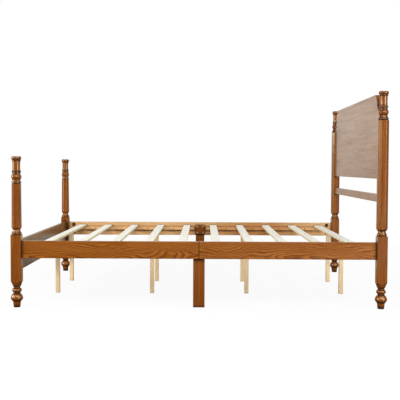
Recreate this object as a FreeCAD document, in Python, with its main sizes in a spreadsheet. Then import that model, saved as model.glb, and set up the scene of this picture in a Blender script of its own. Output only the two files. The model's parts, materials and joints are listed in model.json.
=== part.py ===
import FreeCAD, Part
import os
import re
import Sketcher

# A wooden post bed for a queen mattress: four turned and faceted posts on ball feet, a panel
# headboard with scrolled shoulders, a plank footboard, split side rails and a slatted deck.
# Millimetres, +Z up, +X towards the headboard, floor centre at the origin.
# Left is +Y and right is -Y, as seen from the foot of the bed.

Vector = FreeCAD.Vector

SIZES = [
    # The plan, from post axis to post axis
    ("bed_length", "2072", "foot post axis to head post axis"),
    ("bed_width", "1568", "post axis to post axis across the bed"),
    # Room left between mating pieces
    ("fit_gap", "0.2", "room on each side of a tongue, tenon or shank"),
    ("fit_end", "1", "room past the end of a tongue, tenon or bolt"),
    ("seam_gap", "0.8", "seam between the two halves of a side rail"),
    # Turned ball foot, from the floor up
    ("foot_tip_r", "18.4", "radius of the peg on the floor"),
    ("foot_tip_top_r", "22", "radius of the peg under the ball"),
    ("foot_tip_h", "32", "height of the peg"),
    ("foot_ball_r", "34", "radius of the ball"),
    ("foot_flare_h", "15", "sloped underside of the ball"),
    ("foot_band_h", "8", "plain band round the ball"),
    ("foot_dome_h", "26", "domed top of the ball"),
    ("foot_dome_mid_r", "29.8", "radius half way up the dome"),
    ("foot_neck_r", "17.5", "radius of the grooves beside the ring"),
    ("foot_bead_r", "20", "radius of the small beads beside the ring"),
    ("foot_neck_h", "4.5", "small bead between ball and ring"),
    ("foot_ring_r", "27.4", "radius of the ring"),
    ("foot_ring_h", "23.5", "height of the ring"),
    ("foot_collar_h", "5", "small bead above the ring"),
    # Post stock and the square block that takes the rails
    ("post_square", "58", "width of the square block"),
    ("post_turn_r", "39", "turned radius left on the block's corners"),
    ("flat_past", "10", "cut of a flat past the turned corners"),
    ("post_collar_r", "17.8", "radius at the bottom of the post"),
    ("post_collar_h", "1.5", "short collar on the ball foot"),
    ("shoulder_h", "22.5", "turned cup under the block"),
    ("shoulder_mid_r", "25", "radius half way up the cup"),
    ("shoulder_r", "28", "radius of the cup's rim"),
    ("bevel_h", "11", "sloped corners under the block"),
    ("block_h", "258.5", "block between its turned ends"),
    ("pommel_h", "7", "rounded corners on top of the block"),
    ("pommel_mid_r", "37.6", "radius half way up the rounded corners"),
    ("pommel_r", "33", "radius at the block's flat top"),
    ("seat_groove_r", "25.4", "groove between the block and the bead on it"),
    ("seat_groove_h", "2.5", "height of that groove"),
    ("seat_bead_r", "28.8", "radius of the bead on the block"),
    ("seat_bead_h", "10.5", "bead on the block"),
    ("bell_r", "26", "radius at the foot of the bell"),
    ("bell_h", "13", "hollow bell above the bead"),
    ("bell_hollow", "1.1", "depth of the bell's hollow"),
    ("neck_h", "2.5", "neck between bell and shaft"),
    ("swell_h", "16", "rounded lower end of the shaft"),
    ("shaft_ease", "0.5", "wear on the eight edges of the shaft"),
    # Foot posts and head posts, where they differ
    ("foot_post_neck_r", "20.6", "neck under the foot post's shaft"),
    ("foot_post_low", "54", "foot shaft across flats, lower end"),
    ("foot_post_top", "50", "foot shaft across flats, upper end"),
    ("foot_post_shaft_h", "242.5", "foot shaft above its rounded end"),
    ("foot_post_groove_r", "23", "groove over the foot shaft"),
    ("foot_post_ring_r", "28", "ring over the foot shaft"),
    ("foot_post_cove_h", "7.5", "hollow between ring and cup, foot posts"),
    ("foot_post_waist_h", "11.5", "waist between cup and bead, foot posts"),
    ("foot_post_throat_h", "52.5", "long neck under the cap, foot posts"),
    ("head_post_neck_r", "22", "neck under the head post's shaft"),
    ("head_post_low", "60.6", "head shaft across flats, lower end"),
    ("head_post_top", "60", "head shaft across flats, upper end"),
    ("head_post_shaft_h", "609.5", "head shaft above its rounded end"),
    ("head_post_groove_r", "26.4", "groove over the head shaft"),
    ("head_post_ring_r", "29.8", "ring over the head shaft"),
    ("head_post_cove_h", "13", "hollow between ring and cup, head posts"),
    ("head_post_waist_h", "12.5", "waist between cup and bead, head posts"),
    ("head_post_throat_h", "54", "long neck under the cap, head posts"),
    # Turned finial, the same on all four posts
    ("groove_h", "3", "groove between shaft and ring"),
    ("ring_h", "12", "ring"),
    ("cove_r", "22.2", "radius of the hollow between ring and cup"),
    ("cup_low_h", "20", "cup up to its widest line"),
    ("cup_high_h", "11", "cup above its widest line"),
    ("cup_r", "29", "radius of the cup"),
    ("cup_low_mid_r", "27.2", "radius half way up the lower cup"),
    ("cup_high_mid_r", "27", "radius half way up the upper cup"),
    ("waist_r", "23", "radius of the waist"),
    ("bead_h", "11", "bead"),
    ("bead_r", "26.3", "radius of the bead"),
    ("throat_r", "22.2", "radius of the long neck at its ends"),
    ("throat_mid_r", "21.6", "radius of the long neck half way up"),
    ("cap_base_h", "8.5", "small ring under the cap"),
    ("cap_base_r", "25.4", "radius of the small ring"),
    ("cap_seam_r", "23.8", "groove between the small ring and the cap"),
    ("cap_h", "18.5", "rounded cap"),
    ("cap_r", "28.6", "radius of the cap"),
    ("cap_top_r", "24", "radius of the flat on the cap"),
    # Side rails, each in two halves
    ("rail_up", "166", "bottom of the post to the underside of the rails"),
    ("rail_h", "99", "height of a side rail"),
    ("rail_t", "22", "thickness of a side rail"),
    ("rail_round", "2.5", "rounding of the rails' long edges"),
    # Footboard plank
    ("footboard_h", "172", "height of the footboard"),
    ("footboard_t", "22", "thickness of the footboard"),
    ("board_round", "2.5", "rounding of the boards' long edges"),
    # Headboard
    ("head_gap_low", "225", "side rail top to the lower head rail"),
    ("head_rail_h", "46", "height of the lower head rail"),
    ("head_rail_t", "20", "thickness of the lower head rail"),
    ("head_gap_mid", "88", "lower head rail to the panel"),
    ("panel_t", "22", "thickness of the headboard panel"),
    ("panel_drop", "6", "top of the panel below the top of the head posts"),
    ("scroll_drop", "13", "foot of the scroll below the top of the head shaft"),
    ("scroll_flat", "131", "post face to the end of the panel's flat top"),
    ("scroll_lobe", "77", "post face to the foot of the upper lobe"),
    ("scroll_lobe_h", "62", "height of the upper lobe"),
    ("scroll_bulge", "4.5", "swell of the upper lobe"),
    ("scroll_notch", "6", "notch under the upper lobe"),
    ("scroll_turn", "51", "post face to where the ogee turns"),
    ("scroll_hollow_h", "34", "height of the ogee's hollow"),
    ("scroll_hollow", "3", "depth of the ogee's hollow"),
    ("scroll_round", "8", "swell of the ogee's round"),
    # Tongues and tenons of the boards in the posts
    ("tongue_t", "12", "thickness of the tongues and tenons"),
    ("tongue_depth", "12", "length of a board's tongue in its post"),
    ("tongue_inset", "12", "shoulder above and below a tongue"),
    ("tenon_depth", "20", "length of the lower head rail's tenon"),
    ("tenon_inset", "8", "shoulder above and below a tenon"),
    # Slatted deck
    ("slat_w", "51", "width of a slat"),
    ("slat_t", "15", "thickness of a slat"),
    ("slat_drop", "20", "top of the slats below the top of the rails"),
    ("slat_margin", "136", "post axis to the middle of the outer slat"),
    ("slat_end_gap", "2", "end of a slat to the rail"),
    ("slat_round", "2", "rounding of a slat's long edges"),
    ("ledger_h", "22", "height of a ledger"),
    ("ledger_t", "22", "depth of a ledger from its rail"),
    ("ledger_past_slat", "26", "ledger past the outer slat"),
    ("ledger_to_splice", "8", "ledger to the splice block"),
    ("support_sq", "26", "width of a support leg"),
    ("support_y", "261", "middle of the bed to a row of support legs"),
    ("support_round", "2", "rounding of a support leg's edges"),
    # Splice at the middle of each side rail
    ("splice_w", "70", "width of the splice block"),
    ("splice_h", "66", "height of the splice block"),
    ("splice_t", "22", "thickness of the splice block"),
    ("splice_drop", "20", "top of the splice block below the top of the rail"),
    ("splice_round", "3", "rounding of the splice block's edges"),
    ("centre_leg_w", "66", "width of a centre leg"),
    ("centre_leg_t", "22", "thickness of a centre leg"),
    ("splice_bolt_x", "20", "splice bolts to each side of the seam"),
    ("splice_bolt_z", "23.5", "splice bolts above and below the block's middle"),
    ("splice_bolt_in", "16", "splice bolt inside the rail"),
    ("splice_head_r", "6", "radius of a splice bolt's head"),
    ("splice_crown_r", "4.4", "radius of the flat on a splice bolt's head"),
    ("splice_head_h", "4.5", "height of a splice bolt's head"),
    ("splice_head_rim", "2.2", "straight rim of a splice bolt's head"),
    ("splice_drive_r", "2.6", "key socket in a splice bolt's head"),
    ("splice_drive_h", "2.8", "depth of the key socket"),
    ("bolt_r", "4", "radius of the rail and splice bolts"),
    # Bolts, washers, nuts and dowels at the ends of the rails
    ("rail_bolt_edge", "20", "rail bolts from the rail's top and bottom edges"),
    ("rail_bolt_post", "38", "rail bolt inside the post"),
    ("pocket_in", "36", "end of the rail to the middle of a bolt pocket"),
    ("pocket_r", "14", "radius of a bolt pocket"),
    ("pocket_floor", "4", "wood left behind a bolt pocket"),
    ("bolt_past", "4", "rail bolt past the middle of its pocket"),
    ("washer_flat", "5", "middle of a pocket to the flat of the washer"),
    ("washer_t", "10", "width of a half-moon washer"),
    ("nut_flats", "13", "rail nut across flats"),
    ("nut_h", "6.5", "height of a rail nut"),
    ("dowel_r", "4", "radius of a rail dowel"),
    ("dowel_in", "20", "dowel inside the post and inside the rail"),
    # Hanger bolts of the ball feet
    ("foot_bolt_r", "5", "radius of a foot's hanger bolt"),
    ("foot_bolt_in", "32", "hanger bolt inside the foot and inside the post"),
    # Wood screws of the deck
    ("screw_r", "2.2", "radius of a screw's shank"),
    ("screw_head_r", "4.2", "radius of a screw's countersunk head"),
    ("screw_head_h", "2.6", "height of a screw's countersunk head"),
    ("slat_screw_in", "16", "slat screw inside the ledger"),
    ("leg_screw_in", "30", "leg screw inside the support leg"),
    ("ledger_screw_in", "14", "ledger screw inside the rail"),
]

# Places that follow from the sizes above
PLACES = [
    ("half_length", "bed_length / 2"),
    ("half_width", "bed_width / 2"),
    ("post_half", "post_square / 2"),
    ("flat_reach", "post_turn_r + flat_past"),
    ("inner_half_width", "half_width - post_half"),
    ("inner_half_length", "half_length - post_half"),
    ("head_face", "head_post_low / 2"),
    ("head_inner_y", "half_width - head_face"),
    ("rail_face", "half_width - rail_t / 2"),
    # Heights up the ball foot
    ("z_foot_tip", "foot_tip_h"),
    ("z_foot_flare", "z_foot_tip + foot_flare_h"),
    ("z_foot_band", "z_foot_flare + foot_band_h"),
    ("z_foot_dome_mid", "z_foot_band + foot_dome_h / 2"),
    ("z_foot_dome", "z_foot_band + foot_dome_h"),
    ("z_foot_neck_mid", "z_foot_dome + foot_neck_h / 2"),
    ("z_foot_neck", "z_foot_dome + foot_neck_h"),
    ("z_foot_ring_mid", "z_foot_neck + foot_ring_h / 2"),
    ("z_foot_ring", "z_foot_neck + foot_ring_h"),
    ("z_foot_collar_mid", "z_foot_ring + foot_collar_h / 2"),
    ("z_post", "z_foot_ring + foot_collar_h"),
    # Heights up the lower post
    ("z_collar", "z_post + post_collar_h"),
    ("z_shoulder_mid", "z_collar + shoulder_h / 2"),
    ("z_shoulder", "z_collar + shoulder_h"),
    ("z_block", "z_shoulder + bevel_h"),
    ("z_pommel", "z_block + block_h"),
    ("z_pommel_mid", "z_pommel + pommel_h / 2"),
    ("z_seat", "z_pommel + pommel_h"),
    ("z_seat_groove", "z_seat + seat_groove_h / 2"),
    ("z_seat_bead", "z_seat + seat_groove_h"),
    ("z_seat_bead_mid", "z_seat_bead + seat_bead_h / 2"),
    ("z_bell", "z_seat_bead + seat_bead_h"),
    ("z_bell_mid", "z_bell + bell_h / 2"),
    ("z_neck", "z_bell + bell_h"),
    ("z_swell", "z_neck + neck_h"),
    ("z_swell_mid", "z_swell + swell_h / 2"),
    ("z_shaft", "z_swell + swell_h"),
    # Rails, footboard and deck
    ("z_rail", "z_post + rail_up"),
    ("z_rail_top", "z_rail + rail_h"),
    ("z_rail_mid", "z_rail + rail_h / 2"),
    ("z_rail_bolt_low", "z_rail + rail_bolt_edge"),
    ("z_rail_bolt_high", "z_rail_top - rail_bolt_edge"),
    ("rail_len", "inner_half_length - seam_gap / 2"),
    ("pocket_x", "inner_half_length - pocket_in"),
    ("nut_corner_r", "nut_flats / 2 / cos(30 deg)"),
    ("z_footboard", "z_rail_top - footboard_h"),
    ("z_slat_top", "z_rail_top - slat_drop"),
    ("z_slat", "z_slat_top - slat_t"),
    ("z_ledger", "z_slat - ledger_h"),
    ("slat_half_len", "rail_face - slat_end_gap"),
    ("ledger_face", "rail_face - ledger_t"),
    ("ledger_mid_y", "rail_face - ledger_t / 2"),
    ("z_ledger_mid", "z_ledger + ledger_h / 2"),
    ("ledger_near", "splice_w / 2 + ledger_to_splice"),
    ("ledger_far", "half_length - slat_margin + slat_w / 2 + ledger_past_slat"),
    ("z_splice_top", "z_rail_top - splice_drop"),
    ("z_splice", "z_splice_top - splice_h"),
    ("z_splice_mid", "z_splice + splice_h / 2"),
    ("splice_back", "rail_face - centre_leg_t"),
    ("splice_front", "splice_back - splice_t"),
    # Headboard
    ("z_head_rail", "z_rail_top + head_gap_low"),
    ("z_panel", "z_head_rail + head_rail_h + head_gap_mid"),
]

# Heights and radii up the shaft and finial, worked out for each kind of post
POST_PLACES = [
    ("z_top_shaft", "z_shaft + {post}_shaft_h"),
    ("low_half", "{post}_low / 2"),
    ("top_half", "{post}_top / 2"),
    ("low_r", "{post}_low / 2 / cos(22.5 deg) - shaft_ease"),
    ("top_r", "{post}_top / 2 / cos(22.5 deg) - shaft_ease"),
    ("bell_mid_r", "(bell_r + {post}_neck_r) / 2 - bell_hollow"),
    ("swell_mid_r", "{post}_neck_r + ({post}_low_r - {post}_neck_r) * 0.72"),
    ("z_groove", "{post}_z_top_shaft + groove_h / 2"),
    ("z_ring", "{post}_z_top_shaft + groove_h"),
    ("z_ring_mid", "{post}_z_ring + ring_h / 2"),
    ("z_cove", "{post}_z_ring + ring_h"),
    ("z_cup", "{post}_z_cove + {post}_cove_h"),
    ("z_cup_low_mid", "{post}_z_cup + cup_low_h / 2"),
    ("z_cup_wide", "{post}_z_cup + cup_low_h"),
    ("z_cup_high_mid", "{post}_z_cup_wide + cup_high_h / 2"),
    ("z_waist", "{post}_z_cup_wide + cup_high_h"),
    ("z_bead", "{post}_z_waist + {post}_waist_h"),
    ("z_bead_mid", "{post}_z_bead + bead_h / 2"),
    ("z_throat", "{post}_z_bead + bead_h"),
    ("z_throat_mid", "{post}_z_throat + {post}_throat_h / 2"),
    ("z_cap_base", "{post}_z_throat + {post}_throat_h"),
    ("z_cap_base_mid", "{post}_z_cap_base + cap_base_h / 2"),
    ("z_cap", "{post}_z_cap_base + cap_base_h"),
    ("z_cap_mid", "{post}_z_cap + cap_h * 0.45"),
    ("z_tip", "{post}_z_cap + cap_h"),
]

# The scrolled shoulder, measured in from the face of the head post and up from the floor
SCROLL_PLACES = [
    ("z_panel_top", "head_post_z_tip - panel_drop"),
    ("z_scroll", "head_post_z_top_shaft - scroll_drop"),
    ("z_lobe", "z_panel_top - scroll_lobe_h"),
    ("z_turn", "z_lobe - scroll_hollow_h"),
    ("flat_end_y", "head_inner_y - scroll_flat"),
    ("lobe_y", "head_inner_y - scroll_lobe"),
    ("lobe_mid_y", "head_inner_y - (scroll_flat + scroll_lobe) / 2 + scroll_bulge"),
    ("z_lobe_mid", "(z_panel_top + z_lobe) / 2 + scroll_bulge"),
    ("notch_y", "lobe_y - scroll_notch"),
    ("turn_y", "head_inner_y - scroll_turn"),
    ("hollow_mid_y", "(notch_y + turn_y) / 2 - scroll_hollow"),
    ("z_hollow_mid", "(z_lobe + z_turn) / 2 - scroll_hollow"),
    ("round_mid_y", "(turn_y + head_inner_y) / 2 + scroll_round"),
    ("z_round_mid", "(z_turn + z_scroll) / 2 + scroll_round"),
]

doc = FreeCAD.newDocument("PostBed")
sheet = doc.addObject("Spreadsheet::Sheet", "Sizes")


def write_sheet():
    """Put every size and every place that follows from it in the sheet, each under its name."""
    rows = list(SIZES)
    rows += [(name, "=" + formula, "place") for name, formula in PLACES]
    for post in ("foot_post", "head_post"):
        for name, formula in POST_PLACES:
            rows.append((post + "_" + name, "=" + formula.format(post=post), "place"))
    rows += [(name, "=" + formula, "place") for name, formula in SCROLL_PLACES]
    for line, (name, content, note) in enumerate(rows, start=1):
        sheet.set("A%d" % line, name)
        sheet.set("B%d" % line, content)
        sheet.set("C%d" % line, note)
        sheet.setAlias("B%d" % line, name)
    doc.recompute()


def size(name):
    """The number that stands under a name in the sheet."""
    return float(sheet.get(name))


def bound(text):
    """Point every size name in an expression at the sheet."""
    return re.sub(r"\b([a-z]\w*)\b", r"Sizes.\1", text)


def drive(obj, **expressions):
    """Tie properties of a document object to sizes."""
    for prop, text in expressions.items():
        obj.setExpression(prop, bound(text))


def move_to(obj, x, y, z):
    """Tie the place of a document object to sizes."""
    obj.setExpression("Placement.Base.x", bound(x))
    obj.setExpression("Placement.Base.y", bound(y))
    obj.setExpression("Placement.Base.z", bound(z))


def signed(side, text):
    """A coordinate on the + or - side of the bed."""
    return text if side > 0 else "-(%s)" % text


def low_end(side, near, far):
    """Lower coordinate of a span from near to far on one side of the bed."""
    return near if side > 0 else "-(%s)" % far


write_sheet()

# Turn that lays a cylinder or cone, drawn along Z, along another axis
LAID = {
    "z": FreeCAD.Rotation(),
    "x": FreeCAD.Rotation(Vector(0, 1, 0), 90),
    "y": FreeCAD.Rotation(Vector(1, 0, 0), -90),
    "-y": FreeCAD.Rotation(Vector(1, 0, 0), 90),
}

parts = []


def finish(obj, node):
    """Name a finished sub-part and list it for the checks and the export."""
    obj.Label = node
    parts.append((node, obj))
    return obj


# Solids that suit plain planks, rods and holes

def plank(name, size_x, size_y, size_z, x, y, z):
    box = doc.addObject("Part::Box", name)
    drive(box, Length=size_x, Width=size_y, Height=size_z)
    move_to(box, x, y, z)
    return box


def rod(name, radius, length, axis, x, y, z):
    cylinder = doc.addObject("Part::Cylinder", name)
    drive(cylinder, Radius=radius, Height=length)
    cylinder.Placement = FreeCAD.Placement(Vector(), LAID[axis])
    move_to(cylinder, x, y, z)
    return cylinder


def taper(name, radius_1, radius_2, length, axis, x, y, z):
    cone = doc.addObject("Part::Cone", name)
    drive(cone, Radius1=radius_1, Radius2=radius_2, Height=length)
    cone.Placement = FreeCAD.Placement(Vector(), LAID[axis])
    move_to(cone, x, y, z)
    return cone


def cut(name, base, tools):
    """Base solid less all its holes and pockets."""
    tool = tools[0]
    if len(tools) > 1:
        tool = doc.addObject("Part::MultiFuse", name + "_holes")
        tool.Shapes = tools
    result = doc.addObject("Part::Cut", name)
    result.Base = base
    result.Tool = tool
    return result


def join(name, solids):
    result = doc.addObject("Part::MultiFuse", name)
    result.Shapes = solids
    return result


def rounded(name, base, axis, radius):
    """Round the edges of a plank that run along one axis."""
    doc.recompute()
    edges = []
    for number, edge in enumerate(base.Shape.Edges, start=1):
        direction = edge.tangentAt(edge.FirstParameter)
        if abs(getattr(direction, axis)) > 0.99:
            edges.append((number, size(radius), size(radius)))
    result = doc.addObject("Part::Fillet", name)
    result.Base = base
    result.Edges = edges
    return result


# Bodies drawn as sketches and then turned, padded, cut and repeated

def new_body(name):
    return doc.addObject("PartDesign::Body", name)


def datum(body, role):
    return [item for item in body.Origin.OriginFeatures if item.Role == role][0]


def outline(body, plane, name, path):
    """Closed sketch through named corners. A step is (x, y) for a straight side that ends there, or
    (x, y, via_x, via_y) for an arc through a point on its way there. None stands for zero."""
    sketch = body.newObject("Sketcher::SketchObject", name)
    sketch.AttachmentSupport = (datum(body, plane), [""])
    sketch.MapMode = "FlatFace"

    def spot(x, y):
        return Vector(size(x) if x else 0, size(y) if y else 0, 0)

    def pin(geometry, end, x, y):
        """Hold one point of the sketch at its named place."""
        for kind, value, axis in (("DistanceX", x, -2), ("DistanceY", y, -1)):
            if value:
                place = size(value)
                number = sketch.addConstraint(Sketcher.Constraint(kind, -1, 1, geometry, end, place))
                sketch.setExpression("Constraints[%d]" % number, bound(value))
            else:
                sketch.addConstraint(Sketcher.Constraint("PointOnObject", geometry, end, axis))

    sides = []
    for here, step in zip(path, path[1:] + path[:1]):
        start, end = spot(*here[:2]), spot(*step[:2])
        if len(step) == 4:
            side = sketch.addGeometry(Part.Arc(start, spot(*step[2:]), end), False)
            via = sketch.addGeometry(Part.Point(spot(*step[2:])), True)
            pin(via, 1, *step[2:])
            sketch.addConstraint(Sketcher.Constraint("PointOnObject", via, 1, side))
        else:
            side = sketch.addGeometry(Part.LineSegment(start, end), False)
        first = 1 if sketch.getPoint(side, 1).distanceToPoint(start) < 1e-6 else 2
        sides.append((side, first, 3 - first))
    for number, (side, first, last) in enumerate(sides):
        before = sides[number - 1]
        sketch.addConstraint(Sketcher.Constraint("Coincident", before[0], before[2], side, first))
        pin(side, first, *path[number][:2])
    return sketch


def turn(body, name, sketch):
    """Turn a profile about the upright axis of its sketch."""
    feature = body.newObject("PartDesign::Revolution", name)
    feature.Profile = sketch
    feature.ReferenceAxis = (sketch, ["V_Axis"])
    feature.Angle = 360
    body.Tip = feature
    return feature


def plane_flats(body, name, sketch, count):
    """Plane flats on a turned blank, evenly round its axis."""
    flat = body.newObject("PartDesign::Pocket", name)
    flat.Profile = sketch
    flat.Midplane = True
    flat.Type = 0
    drive(flat, Length="2 * flat_reach")
    ring = body.newObject("PartDesign::PolarPattern", name + "_round")
    ring.Originals = [flat]
    ring.Axis = (datum(body, "Z_Axis"), [""])
    ring.Angle = 360
    ring.Occurrences = count
    body.Tip = ring
    return ring


def add_block(body, kind, name, size_x, size_y, size_z, x, y, z):
    """Add a block to a body, or cut one from it."""
    block = body.newObject("PartDesign::%sBox" % kind, name)
    drive(block, Length=size_x, Width=size_y, Height=size_z)
    move_to(block, x, y, z)
    body.Tip = block
    return block


def bore(body, name, radius, depth, axis, x, y, z):
    """Cut a round hole in a body."""
    hole = body.newObject("PartDesign::SubtractiveCylinder", name)
    drive(hole, Radius=radius, Height=depth)
    hole.Placement = FreeCAD.Placement(Vector(), LAID[axis])
    move_to(hole, x, y, z)
    body.Tip = hole
    return hole


# Posts

def post_profile(post):
    """Half section of a turned post blank, from the top of its ball foot to the cap."""
    def of(name):
        return post + "_" + name

    return [
        (None, "z_post"),
        ("post_collar_r", "z_post"),
        ("post_collar_r", "z_collar"),
        ("shoulder_r", "z_shoulder", "shoulder_mid_r", "z_shoulder_mid"),
        ("post_turn_r", "z_block"),
        ("post_turn_r", "z_pommel"),
        ("pommel_r", "z_seat", "pommel_mid_r", "z_pommel_mid"),
        ("seat_groove_r", "z_seat"),
        ("seat_groove_r", "z_seat_bead"),
        ("bell_r", "z_bell", "seat_bead_r", "z_seat_bead_mid"),
        (of("neck_r"), "z_neck", of("bell_mid_r"), "z_bell_mid"),
        (of("neck_r"), "z_swell"),
        (of("low_r"), "z_shaft", of("swell_mid_r"), "z_swell_mid"),
        (of("top_r"), of("z_top_shaft")),
        (of("groove_r"), of("z_groove")),
        (of("groove_r"), of("z_ring")),
        (of("groove_r"), of("z_cove"), of("ring_r"), of("z_ring_mid")),
        ("cove_r", of("z_cup")),
        ("cup_r", of("z_cup_wide"), "cup_low_mid_r", of("z_cup_low_mid")),
        ("waist_r", of("z_waist"), "cup_high_mid_r", of("z_cup_high_mid")),
        ("waist_r", of("z_bead")),
        ("throat_r", of("z_throat"), "bead_r", of("z_bead_mid")),
        ("throat_r", of("z_cap_base"), "throat_mid_r", of("z_throat_mid")),
        ("cap_seam_r", of("z_cap"), "cap_base_r", of("z_cap_base_mid")),
        ("cap_top_r", of("z_tip"), "cap_r", of("z_cap_mid")),
        (None, of("z_tip")),
    ]


def mortise(body, name, across, face, z_low, z_high, depth):
    """Stopped mortise for a board's tongue in the face of a post that looks across the bed."""
    add_block(body, "Subtractive", name,
              "tongue_t + 2 * fit_gap", depth + " + fit_end + flat_past",
              "%s - (%s) + 2 * fit_gap" % (z_high, z_low),
              "-tongue_t / 2 - fit_gap",
              low_end(across, "%s - (%s) - fit_end" % (face, depth), face + " + flat_past"),
              "%s - fit_gap" % z_low)


def make_post(post, along, across, node):
    """One corner post. Its rail leaves it along X and its board across the bed along Y."""
    body = new_body(node)
    turn(body, node + "_blank", outline(body, "XZ_Plane", node + "_profile", post_profile(post)))
    block_flat = outline(body, "XZ_Plane", node + "_block_flat", [
        ("post_half", "z_post"), ("flat_reach", "z_post"),
        ("flat_reach", "z_seat_groove"), ("post_half", "z_seat_groove")])
    plane_flats(body, node + "_block", block_flat, 4)
    low_half, top_half, z_groove = post + "_low_half", post + "_top_half", post + "_z_groove"
    shaft_flat = outline(body, "XZ_Plane", node + "_shaft_flat", [
        (low_half, "z_swell"), ("flat_reach", "z_swell"),
        ("flat_reach", z_groove), (top_half, z_groove)])
    plane_flats(body, node + "_shaft", shaft_flat, 8)
    if post == "foot_post":
        mortise(body, node + "_board_mortise", -across, "post_half",
                "z_footboard + tongue_inset", "z_rail_top - tongue_inset", "tongue_depth")
    else:
        mortise(body, node + "_panel_mortise", -across, "head_face",
                "z_panel + tongue_inset", "z_scroll - tongue_inset", "tongue_depth")
        mortise(body, node + "_rail_mortise", -across, "head_face",
                "z_head_rail + tenon_inset", "z_head_rail + head_rail_h - tenon_inset", "tenon_depth")
    bolt_depth = "rail_bolt_post + fit_end"
    for place in ("low", "high"):
        bore(body, node + "_bolt_hole_" + place, "bolt_r + fit_gap", bolt_depth + " + flat_past", "x",
             low_end(-along, "post_half - (%s)" % bolt_depth, "post_half + flat_past"),
             "0", "z_rail_bolt_" + place)
    bore(body, node + "_dowel_hole", "dowel_r + fit_gap", "dowel_in + fit_end + flat_past", "x",
         low_end(-along, "post_half - dowel_in - fit_end", "post_half + flat_past"), "0", "z_rail_mid")
    bore(body, node + "_foot_hole", "foot_bolt_r + fit_gap", "foot_bolt_in + fit_end", "z",
         "0", "0", "z_post")
    move_to(body, signed(along, "half_length"), signed(across, "half_width"), "0")
    finish(body, node)


def make_ball_foot(along, across, node):
    """Turned foot, bored from above for the hanger bolt that draws it up to its post."""
    body = new_body(node)
    profile = outline(body, "XZ_Plane", node + "_profile", [
        (None, None),
        ("foot_tip_r", None),
        ("foot_tip_top_r", "z_foot_tip"),
        ("foot_ball_r", "z_foot_flare"),
        ("foot_ball_r", "z_foot_band"),
        ("foot_neck_r", "z_foot_dome", "foot_dome_mid_r", "z_foot_dome_mid"),
        ("foot_neck_r", "z_foot_neck", "foot_bead_r", "z_foot_neck_mid"),
        ("foot_neck_r", "z_foot_ring", "foot_ring_r", "z_foot_ring_mid"),
        ("foot_neck_r", "z_post", "foot_bead_r", "z_foot_collar_mid"),
        (None, "z_post")])
    turn(body, node + "_turning", profile)
    bore(body, node + "_hole", "foot_bolt_r + fit_gap", "foot_bolt_in + fit_end", "z",
         "0", "0", "z_post - foot_bolt_in - fit_end")
    move_to(body, signed(along, "half_length"), signed(across, "half_width"), "0")
    finish(body, node)


ENDS = [("foot", -1), ("head", 1)]
SIDES = [("right", -1), ("left", 1)]

for end, along in ENDS:
    for side, across in SIDES:
        make_post(end + "_post", along, across, "%s_post_%s" % (end, side))
for end, along in ENDS:
    for side, across in SIDES:
        make_ball_foot(along, across, "ball_foot_%s_%s" % (end, side))


# Headboard panel with scrolled shoulders, its lower rail, and the footboard

def make_panel():
    body = new_body("headboard_panel")
    half = outline(body, "YZ_Plane", "panel_half", [
        (None, "z_panel"),
        ("head_inner_y", "z_panel"),
        ("head_inner_y", "z_scroll"),
        ("turn_y", "z_turn", "round_mid_y", "z_round_mid"),
        ("notch_y", "z_lobe", "hollow_mid_y", "z_hollow_mid"),
        ("lobe_y", "z_lobe"),
        ("flat_end_y", "z_panel_top", "lobe_mid_y", "z_lobe_mid"),
        (None, "z_panel_top")])
    pad = body.newObject("PartDesign::Pad", "panel_board")
    pad.Profile = half
    pad.Midplane = True
    drive(pad, Length="panel_t")
    mirror = body.newObject("PartDesign::Mirrored", "panel_both_halves")
    mirror.Originals = [pad]
    mirror.MirrorPlane = (datum(body, "XZ_Plane"), [""])
    body.Tip = mirror
    add_block(body, "Additive", "panel_tongues",
              "tongue_t", "2 * (head_inner_y + tongue_depth)",
              "z_scroll - z_panel - 2 * tongue_inset",
              "-tongue_t / 2", "-(head_inner_y + tongue_depth)", "z_panel + tongue_inset")
    move_to(body, "half_length", "0", "0")
    finish(body, "headboard_panel")


def make_board(node, x, reach, thickness, height, z, tongue, inset):
    """Plank between two posts with a stopped tongue at each end."""
    board = plank(node + "_board", thickness, "2 * " + reach, height,
                  "%s - %s / 2" % (x, thickness), "-" + reach, z)
    board = rounded(node + "_eased", board, "y", "board_round")
    tongues = plank(node + "_tongues", "tongue_t", "2 * (%s + %s)" % (reach, tongue),
                    "%s - 2 * %s" % (height, inset),
                    "%s - tongue_t / 2" % x, "-(%s + %s)" % (reach, tongue),
                    "%s + %s" % (z, inset))
    finish(join(node, [board, tongues]), node)


make_panel()
make_board("headboard_rail", "half_length", "head_inner_y", "head_rail_t", "head_rail_h", "z_head_rail",
           "tenon_depth", "tenon_inset")
make_board("footboard", "-half_length", "inner_half_width", "footboard_t", "footboard_h", "z_footboard",
           "tongue_depth", "tongue_inset")


# Places along the deck

SLAT_COUNT = 10
SUPPORT_COUNT = 4
SUPPORTED_SLATS = [number * (SLAT_COUNT - 1) // (SUPPORT_COUNT - 1) for number in range(SUPPORT_COUNT)]
SLATS_PER_LEDGER = SLAT_COUNT // 2


def slat_x(number):
    """Middle of a slat, counted from the foot end, spread evenly between the outer slats."""
    return "(%d / %d) * (half_length - slat_margin)" % (2 * number - SLAT_COUNT + 1, SLAT_COUNT - 1)


def between_slats(number):
    """Half way between a slat and the next one."""
    return "(%d / %d) * (half_length - slat_margin)" % (2 * number - SLAT_COUNT + 2, SLAT_COUNT - 1)


def ledger_slats(along):
    """Numbers of the slats that rest on the foot half or on the head half of the ledgers."""
    first = 0 if along < 0 else SLATS_PER_LEDGER
    return range(first, first + SLATS_PER_LEDGER)


def ledger_screw_places(along):
    """One screw in each gap between two slats on the same ledger."""
    return [between_slats(number) for number in list(ledger_slats(along))[:-1]]


# Side rail halves, ledgers, splice blocks and centre legs

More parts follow.
